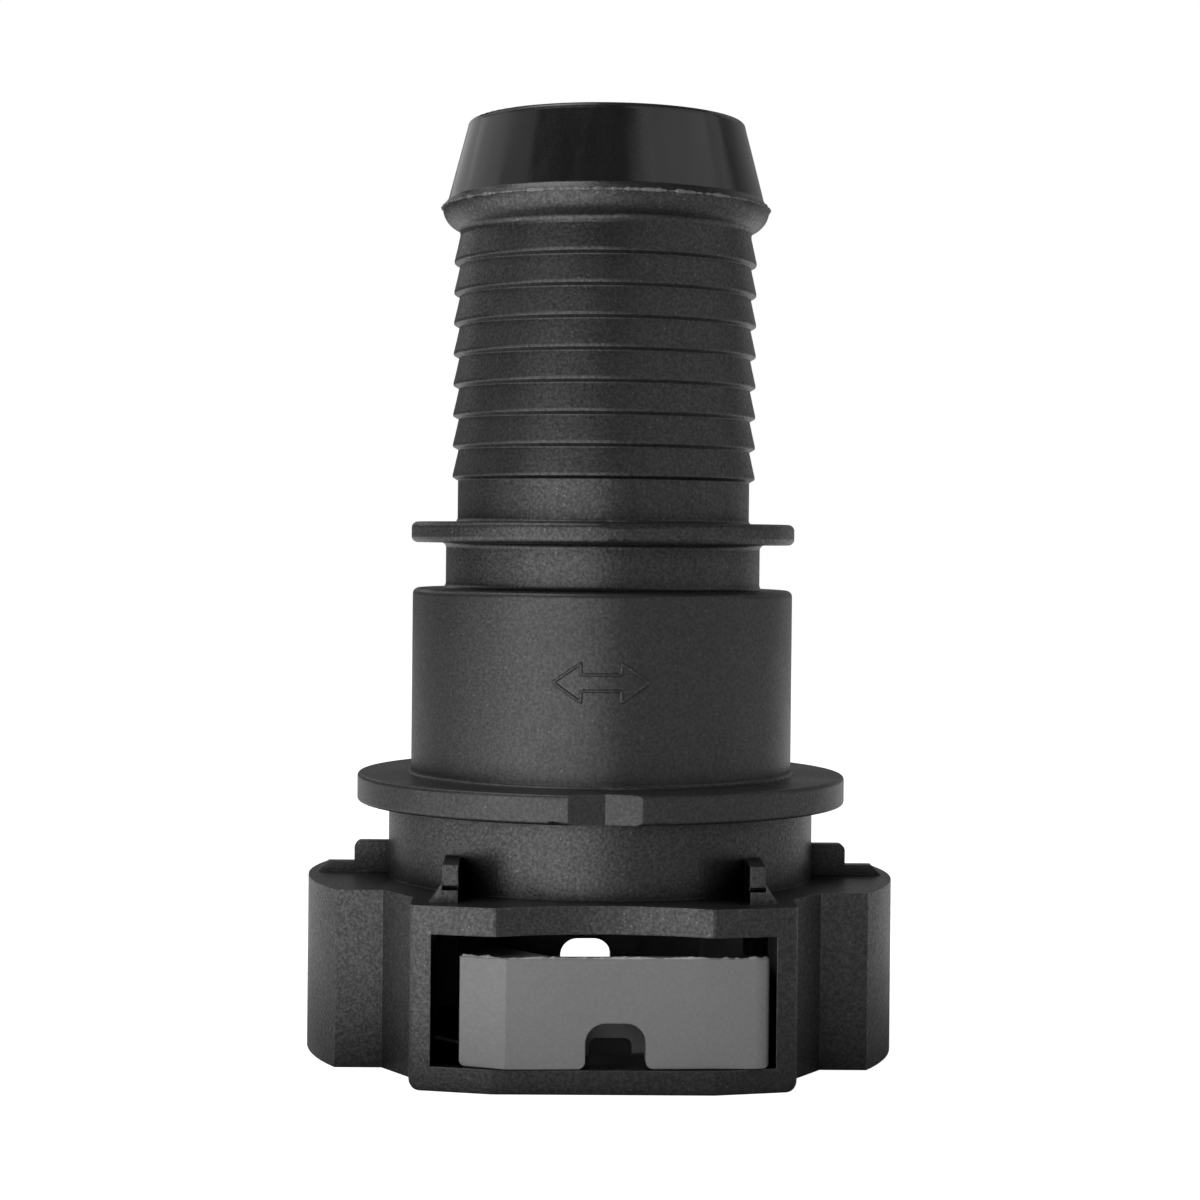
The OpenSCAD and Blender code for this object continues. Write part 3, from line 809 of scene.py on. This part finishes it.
@dataclass(frozen=True)
class Bead:
    """A thin round bead of plastic that follows a line on the surface, even or ragged.

    Its radius swings by a share of itself, after a noise in cycles per metre.
    """

    radius: float
    swing: float = 0.0
    noise_scale: float = 900.0
    noise_detail: float = 4.0
    noise_rough: float = 0.7
    noise_band: tuple[float, float] = (0.35, 0.7)
    sides: int = 8
    merge: float = 1e-7
    smooth_angle: float = 60.0

    def lay(self, name: str, lines: list[list[Vector]], closed: bool,
            material: bpy.types.Material) -> bpy.types.Object:
        """Sweeps the bead along lines with Geometry Nodes.

        Args:
            name: The new piece's name.
            lines: The points of each line.
            closed: Whether each line comes back to its start.
            material: The bead's material.

        Returns:
            The piece, as a plain mesh.
        """
        route = self.route(name + "_route", lines, closed)
        work = GeometryTree(name + "_sweep")
        sheet = work.sheet
        radius = work.input("Bead radius", Input.FLOAT, self.radius)
        sides = work.input("Bead sides", Input.INTEGER, self.sides)
        scale = work.input("Noise scale", Input.FLOAT, self.noise_scale)
        thin = work.input("Thinnest share", Input.FLOAT, 1.0 - self.swing)
        thick = work.input("Thickest share", Input.FLOAT, 1.0 + self.swing)
        info = sheet.add("GeometryNodeObjectInfo")
        info.inputs["Object"].default_value = route
        ragged = self.ragged(sheet, scale, thin, thick)
        swell = sheet.add("GeometryNodeSetCurveRadius")
        sheet.join(info.outputs["Geometry"], swell.inputs["Curve"])
        sheet.join(ragged, swell.inputs["Radius"])
        section = sheet.add("GeometryNodeCurvePrimitiveCircle", mode="RADIUS")
        sheet.join(sides, section.inputs["Resolution"])
        sheet.join(radius, section.inputs["Radius"])
        sweep = sheet.add("GeometryNodeCurveToMesh")
        sweep.inputs["Fill Caps"].default_value = not closed
        sheet.join(swell.outputs[0], sweep.inputs["Curve"])
        sheet.join(section.outputs[0], sweep.inputs["Profile Curve"])
        if "Scale" in sweep.inputs:
            sheet.join(ragged, sweep.inputs["Scale"])
        work.finish(sweep.outputs[0], material)
        piece = work.run(name)
        bpy.data.objects.remove(route)
        tidy_mesh(piece.data, self.merge, self.smooth_angle)
        return piece

    def ragged(self, sheet: Sheet, scale: Socket, thin: Socket, thick: Socket) -> Socket:
        """Draws up how thick the bead is along its line.

        Args:
            sheet: The tree of the sweep.
            scale: The noise's scale.
            thin: The thinnest share of the radius.
            thick: The thickest share of the radius.

        Returns:
            The socket of the share that each point has.
        """
        place = sheet.add("GeometryNodeInputPosition").outputs[0]
        rough = sheet.noise(place, scale, self.noise_detail, self.noise_rough)
        uneven = sheet.ramp(rough, *self.noise_band)
        gain = sheet.maths(Op.SUBTRACT, thick, thin)
        return sheet.maths(Op.ADD, thin, sheet.maths(Op.MULTIPLY, uneven, gain))

    @staticmethod
    def route(name: str, lines: list[list[Vector]], closed: bool) -> bpy.types.Object:
        """Makes the curve that the bead follows.

        Args:
            name: The curve's name.
            lines: The points of each line.
            closed: Whether each line comes back to its start.

        Returns:
            The curve, which is in the scene only until the bead is laid.
        """
        curve = bpy.data.curves.new(name, "CURVE")
        curve.dimensions = "3D"
        for line in lines:
            spline = curve.splines.new("POLY")
            spline.points.add(len(line) - 1)
            for point, place in zip(spline.points, line):
                point.co = (*place, 1.0)
            spline.use_cyclic_u = closed
        return new_piece(name, curve)


def stepped(corners: list[Vector], step: float, closed: bool) -> list[Vector]:
    """Puts points along a broken line.

    Args:
        corners: The line's corners.
        step: Distance between two points, about.
        closed: Whether the line comes back to its start.

    Returns:
        The points, with every corner among them.
    """
    points: list[Vector] = []
    ends = corners[1:] + corners[:1] if closed else corners[1:]
    for start, end in zip(corners, ends):
        steps = max(1, round((end - start).length / step))
        points += [start.lerp(end, k / steps) for k in range(steps)]
    return points if closed else points + [corners[-1]]


@dataclass
class BeadFlash:
    """The ragged flash where the mould's halves meet, between the stem's end bead and its lead-in cone."""

    bead: Bead = Bead(radius=0.085 * MM, swing=0.9, noise_scale=1500.0)
    radius: float = 10.68 * MM
    height: float = 54.46 * MM
    turn_steps: int = 720

    def build(self, wardrobe: Wardrobe) -> bpy.types.Object:
        """Builds the ring and rides it on the shell.

        Args:
            wardrobe: Where the materials come from.

        Returns:
            The piece.
        """
        turns = [math.tau * k / self.turn_steps for k in range(self.turn_steps)]
        ring = [Vector((math.cos(t) * self.radius, math.sin(t) * self.radius, self.height)) for t in turns]
        flash = self.bead.lay("bead_flash", [ring], True, wardrobe.material(THIN_FLASH))
        return settle(flash, Body.SHELL)


@dataclass
class TabBurr:
    """The torn burr that the mould leaves along the upper edge of the clip's two press tabs."""

    bead: Bead = Bead(radius=0.1 * MM, swing=0.8, noise_scale=1400.0)
    half_width: float = 9.24 * MM
    reach: float = 17.0 * MM
    facet_width: float = 2.7 * MM
    facet_drop: float = 1.2 * MM
    end_round: float = 0.9 * MM
    inset: float = 0.18 * MM
    clip_turn: float = 2.4
    step: float = 0.1 * MM
    round_steps: int = 8

    def edge(self, height: float) -> list[Vector]:
        """Follows one tab's upper edge, from its facet to its rounded end.

        Args:
            height: The edge's height.

        Returns:
            The edge's corners, before the clip is turned.
        """
        front = -self.reach + self.inset
        left = -self.half_width + self.inset
        facet = [Vector((left, front + self.facet_drop, height)),
                 Vector((left + self.facet_width, front, height))]
        middle = Vector((self.half_width - self.end_round, -self.reach + self.end_round, height))
        arc_r = self.end_round - self.inset
        turns = [math.pi / 2 * k / self.round_steps for k in range(self.round_steps + 1)]
        end = [middle + Vector((math.sin(t) * arc_r, -math.cos(t) * arc_r, 0.0)) for t in turns]
        return facet + end

    def build(self, wardrobe: Wardrobe) -> bpy.types.Object:
        """Builds both tabs' burrs and rides them on the clip.

        Args:
            wardrobe: Where the materials come from.

        Returns:
            The piece.
        """
        line = stepped(self.edge(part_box("retainer_clip")[1].z), self.step, False)
        turns = [Matrix.Rotation(math.radians(self.clip_turn + half), 3, "Z") for half in (0.0, 180.0)]
        burr = self.bead.lay("tab_burr", [[turn @ point for point in line] for turn in turns], False,
                             wardrobe.material(TORN_BURR))
        return settle(burr, Body.CLIP)


@dataclass
class SqueezeMark:
    """The raised outline on the housing: a plain double-headed arrow that shows where to squeeze."""

    bead: Bead = Bead(radius=0.13 * MM)
    centre_x: float = -0.25 * MM
    centre_z: float = 24.1 * MM
    width: float = 6.0 * MM
    height: float = 2.4 * MM
    head: float = 1.75 * MM
    shaft: float = 1.0 * MM
    housing_r: float = 12.42 * MM
    sink: float = 0.05 * MM
    step: float = 0.12 * MM

    def outline(self) -> list[Vector]:
        """Draws the arrow in the unrolled plane of the housing.

        Returns:
            The arrow's corners.
        """
        half_w, half_h, half_s = self.width / 2, self.height / 2, self.shaft / 2
        neck = half_w - self.head
        right = [(neck, half_s), (neck, half_h), (half_w, 0.0), (neck, -half_h), (neck, -half_s)]
        both = right + [(-x, -z) for x, z in right]
        return [Vector((self.centre_x + x, 0.0, self.centre_z + z)) for x, z in both]

    def wrapped(self, point: Vector) -> Vector:
        """Wraps a point of the unrolled plane round the housing.

        Args:
            point: The point, whose X is a distance along the wall.

        Returns:
            The point on the housing's wall.
        """
        turn = point.x / self.housing_r
        reach = self.housing_r - self.sink
        return Vector((math.sin(turn) * reach, -math.cos(turn) * reach, point.z))

    def build(self, wardrobe: Wardrobe) -> bpy.types.Object:
        """Builds the raised bead along the outline and rides it on the shell.

        Args:
            wardrobe: Where the materials come from.

        Returns:
            The piece.
        """
        line = [self.wrapped(point) for point in stepped(self.outline(), self.step, True)]
        mark = self.bead.lay("squeeze_mark", [line], True, wardrobe.material(FINISHES[Slot.BODY]))
        return settle(mark, Body.SHELL)


@dataclass
class Lamp:
    """A soft rectangular lamp that faces the object.

    It stands turn degrees to the right of the front and rise degrees up, reach metres from the aim.
    """

    name: str
    turn: float
    rise: float
    reach: float
    wide: float
    high: float
    radiance: float
    aim_z: float = 0.028

    def place(self) -> bpy.types.Object:
        """Makes the lamp.

        Returns:
            The lamp, aimed at the object's axis.
        """
        data = bpy.data.lights.new(self.name, "AREA")
        data.shape = "RECTANGLE"
        data.size, data.size_y = self.wide, self.high
        data.energy = self.radiance * math.pi * self.wide * self.high
        lamp = bpy.data.objects.new(self.name, data)
        bpy.context.scene.collection.objects.link(lamp)
        turn, rise = math.radians(self.turn), math.radians(self.rise)
        away = Vector((math.sin(turn) * math.cos(rise), -math.cos(turn) * math.cos(rise), math.sin(rise)))
        lamp.location = Vector((0.0, 0.0, self.aim_z)) + away * self.reach
        lamp.rotation_euler = away.to_track_quat("Z", "Y").to_euler()
        lamp.visible_camera = False
        return lamp


@dataclass
class Studio:
    """Floor, world, lamps and camera. Turns are in degrees, and a pair is where a fade starts and ends."""

    camera_reach: float = 172.0 * MM
    camera_turn: float = -1.1
    camera_z: float = 33.0 * MM
    camera_roll: float = 0.56
    clip_start: float = 0.01
    focal_px: float = 2620.0
    frame_px: float = 1200.0
    sensor: float = 36.0
    axis_px: float = 603.0
    horizon_px: float = 537.0
    floor_r: float = 0.6
    floor_sides: int = 96
    floor_drop: float = 0.02 * MM
    floor_level: float = 0.8
    floor_glow: float = 0.94
    floor_roughness: float = 0.2
    floor_specular: float = 0.6
    # Painted shadow: grey of the diffuse floor close to the object.
    painted_shadow_ground: float = 0.5
    foot_x: float = 17.3 * MM
    foot_y: float = 13.5 * MM
    foot_fade: tuple[float, float] = (0.95, 1.0)
    floor_near: float = 1.3
    floor_far: float = 4.0
    # Painted light in the floor, which only reflections see:
    pool_turns: tuple[float, float, float, float] = (-112.0, -66.0, -22.0, 18.0)
    pool_bright: float = 2.4
    pool_dim: float = 0.07
    pool_rear: float = 0.15
    glow_near: float = 0.08
    glow_far: float = 0.18
    glow_turn: float = 30.0
    glow_bright: float = 0.28
    room_front: float = 0.06
    room_back: float = 0.3
    room_left: float = 0.25
    back_fade: tuple[float, float] = (0.1, 0.8)
    side_fade: tuple[float, float] = (-0.7, 0.7)
    lamps: list[Lamp] = field(default_factory=lambda: [
        Lamp("key_left", turn=-31.0, rise=4.0, reach=0.45, wide=0.52, high=0.28, radiance=2.25),
        Lamp("over_key", turn=-38.0, rise=26.0, reach=0.45, wide=0.4, high=0.08, radiance=1.1),
        Lamp("far_left", turn=-78.0, rise=2.0, reach=0.5, wide=0.28, high=0.26, radiance=0.34),
        Lamp("rim_left", turn=-125.0, rise=4.0, reach=0.5, wide=0.36, high=0.3, radiance=0.04),
        Lamp("edge_left", turn=-147.0, rise=20.0, reach=0.5, wide=0.32, high=0.1, radiance=0.6),
        Lamp("high_left", turn=-112.0, rise=36.0, reach=0.5, wide=0.34, high=0.24, radiance=0.8),
        Lamp("upper_left", turn=-77.0, rise=36.0, reach=0.5, wide=0.18, high=0.16, radiance=0.45),
        Lamp("top_left", turn=-75.0, rise=66.0, reach=0.5, wide=0.36, high=0.28, radiance=3.0),
        Lamp("wide_right", turn=62.0, rise=14.0, reach=0.5, wide=0.95, high=0.6, radiance=0.5),
        Lamp("upper_right", turn=55.0, rise=37.0, reach=0.5, wide=0.6, high=0.12, radiance=0.3),
        Lamp("top", turn=10.0, rise=75.0, reach=0.5, wide=0.4, high=0.4, radiance=0.15),
    ])

    def build(self) -> None:
        """Sets up everything round the object."""
        for lamp in self.lamps:
            lamp.place()
        self.light_world()
        self.lay_floor()
        self.set_camera()
        bpy.context.scene.view_settings.view_transform = "Standard"

    def set_camera(self) -> None:
        """Puts the camera where the photograph was taken."""
        data = bpy.data.cameras.new("camera")
        data.sensor_width = self.sensor
        data.lens = self.focal_px * self.sensor / self.frame_px
        middle = self.frame_px / 2
        data.shift_x = (middle - self.axis_px) / self.frame_px
        data.shift_y = (self.horizon_px - middle) / self.frame_px
        data.clip_start = self.clip_start
        camera = bpy.data.objects.new("camera", data)
        bpy.context.scene.collection.objects.link(camera)
        turn = math.radians(self.camera_turn)
        side, back = math.sin(turn) * self.camera_reach, -math.cos(turn) * self.camera_reach
        camera.location = (side, back, self.camera_z)
        camera.rotation_mode = "XYZ"
        look = Vector((-camera.location.x, -camera.location.y, 0.0)).to_track_quat("-Z", "Y")
        camera.rotation_euler = (look @ Quaternion(UP, math.radians(self.camera_roll))).to_euler()
        bpy.context.scene.camera = camera

    def light_world(self) -> None:
        """Makes the surroundings: white to the camera, and a dim room with a pale back wall to the object."""
        world = bpy.data.worlds.new("studio")
        bpy.context.scene.world = world
        world.use_nodes = True
        sheet = Sheet(world.node_tree)
        output = sheet.add("ShaderNodeOutputWorld")
        seen = sheet.add("ShaderNodeBackground")
        seen.inputs["Color"].default_value = grey(1.0)
        room = sheet.add("ShaderNodeBackground")
        way = sheet.add("ShaderNodeSeparateXYZ")
        sheet.join(sheet.add("ShaderNodeTexCoord").outputs["Generated"], way.inputs[0])
        behind = sheet.ramp(way.outputs["Y"], *self.back_fade, self.room_front, self.room_back)
        across = sheet.ramp(way.outputs["X"], *self.side_fade, self.room_left, 1.0)
        sheet.join(sheet.maths(Op.MULTIPLY, behind, across), room.inputs["Strength"])
        room.inputs["Color"].default_value = grey(1.0)
        both = sheet.add("ShaderNodeMixShader")
        sheet.join(sheet.add("ShaderNodeLightPath").outputs["Is Camera Ray"], both.inputs[0])
        sheet.join(room.outputs[0], both.inputs[1])
        sheet.join(seen.outputs[0], both.inputs[2])
        sheet.join(both.outputs[0], output.inputs["Surface"])

    def lay_floor(self) -> None:
        """Lays the pale floor, which keeps the object's soft shadow and adds a painted shadow close to it."""
        mesh = bpy.data.meshes.new("floor")
        work = bmesh.new()
        bmesh.ops.create_circle(work, cap_ends=True, segments=self.floor_sides, radius=self.floor_r)
        work.to_mesh(mesh)
        work.free()
        floor = new_piece("floor", mesh)
        floor.location.z = -self.floor_drop
        mesh.materials.append(self.floor_material())

    def floor_material(self) -> bpy.types.Material:
        """Draws up the floor: pale to the camera, with a painted shadow that makes it greyer close to the
        object, and a painted glow that only reflections see.

        Returns:
            The floor's material.
        """
        material = bpy.data.materials.new("pale_floor")
        material.use_nodes = True
        sheet = Sheet(material.node_tree)
        output = sheet.add("ShaderNodeOutputMaterial")
        plain = sheet.add("ShaderNodeBsdfPrincipled")
        plain.inputs["Base Color"].default_value = grey(self.floor_level)
        plain.inputs["Roughness"].default_value = self.floor_roughness
        plain.inputs["Specular IOR Level"].default_value = self.floor_specular
        glow = sheet.add("ShaderNodeEmission")
        glow.inputs["Color"].default_value = grey(1.0)
        path = sheet.add("ShaderNodeLightPath")
        axes = sheet.add("ShaderNodeSeparateXYZ")
        place = sheet.add("ShaderNodeTexCoord").outputs["Object"]
        sheet.join(place, axes.inputs[0])
        across = sheet.maths(Op.POWER, sheet.maths(Op.DIVIDE, axes.outputs["X"], self.foot_x), 2.0)
        deep = sheet.maths(Op.POWER, sheet.maths(Op.DIVIDE, axes.outputs["Y"], self.foot_y), 2.0)
        spread = sheet.maths(Op.ADD, across, deep)
        outside = sheet.ramp(spread, *self.foot_fade)
        away = sheet.ramp(sheet.maths(Op.SQRT, spread), self.floor_near, self.floor_far)
        glowing = sheet.maths(Op.MULTIPLY, path.outputs["Is Camera Ray"], self.floor_glow)
        seen = sheet.maths(Op.MULTIPLY, glowing, outside)
        # Painted light: the floor glows for reflections only, as a pool at the front left and a far glow at
        # the right.
        painted_light_pool = sheet.maths(Op.MULTIPLY, self.painted_light_pool(sheet, axes, place), away)
        mirrored = sheet.maths(Op.MULTIPLY, path.outputs["Is Glossy Ray"], painted_light_pool)
        sheet.join(sheet.maths(Op.ADD, seen, mirrored), glow.inputs["Strength"])
        # Painted shadow: a greyer diffuse floor close to the object, fading out with distance.
        close = sheet.add("ShaderNodeBsdfDiffuse")
        close.inputs["Color"].default_value = grey(self.painted_shadow_ground)
        ground = sheet.add("ShaderNodeMixShader")
        sheet.join(away, ground.inputs[0])
        sheet.join(close.outputs[0], ground.inputs[1])
        sheet.join(plain.outputs[0], ground.inputs[2])
        both = sheet.add("ShaderNodeAddShader")
        sheet.join(ground.outputs[0], both.inputs[0])
        sheet.join(glow.outputs[0], both.inputs[1])
        sheet.join(both.outputs[0], output.inputs["Surface"])
        return material

    def painted_light_pool(self, sheet: Sheet, axes: bpy.types.Node, place: Socket) -> Socket:
        """Draws up the painted light that the floor sends only to reflections: a pool at the front left, and
        a far glow at the right.

        Args:
            sheet: The floor material's tree.
            axes: The node with the place's components.
            place: Object coordinates.

        Returns:
            The socket of the light's strength.
        """
        ahead = sheet.maths(Op.MULTIPLY, axes.outputs["Y"], -1.0)
        turn = sheet.maths(Op.ARCTAN2, axes.outputs["X"], ahead)
        start, full, fade, end = (math.radians(degrees) for degrees in self.pool_turns)
        rise = sheet.ramp(turn, start, full, self.pool_rear, 1.0)
        fall = sheet.ramp(turn, end, fade, self.pool_dim, 1.0)
        painted_light_pool = sheet.maths(Op.MULTIPLY, sheet.maths(Op.MULTIPLY, rise, fall), self.pool_bright)
        length = sheet.add("ShaderNodeVectorMath", operation="LENGTH")
        sheet.join(place, length.inputs[0])
        distant = sheet.ramp(length.outputs["Value"], self.glow_near, self.glow_far)
        rightward = sheet.ramp(turn, 0.0, math.radians(self.glow_turn), 0.0, self.glow_bright)
        return sheet.maths(Op.ADD, painted_light_pool, sheet.maths(Op.MULTIPLY, distant, rightward))


def main() -> None:
    """Dresses the solids, builds the fine pieces and sets the studio."""
    logging.basicConfig(level=logging.INFO, format="%(name)s: %(message)s")
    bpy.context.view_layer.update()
    wardrobe = Wardrobe()
    Solids().dress(wardrobe)
    BeadFlash().build(wardrobe)
    TabBurr().build(wardrobe)
    SqueezeMark().build(wardrobe)
    Studio().build()


if __name__ == "__main__":
    main()
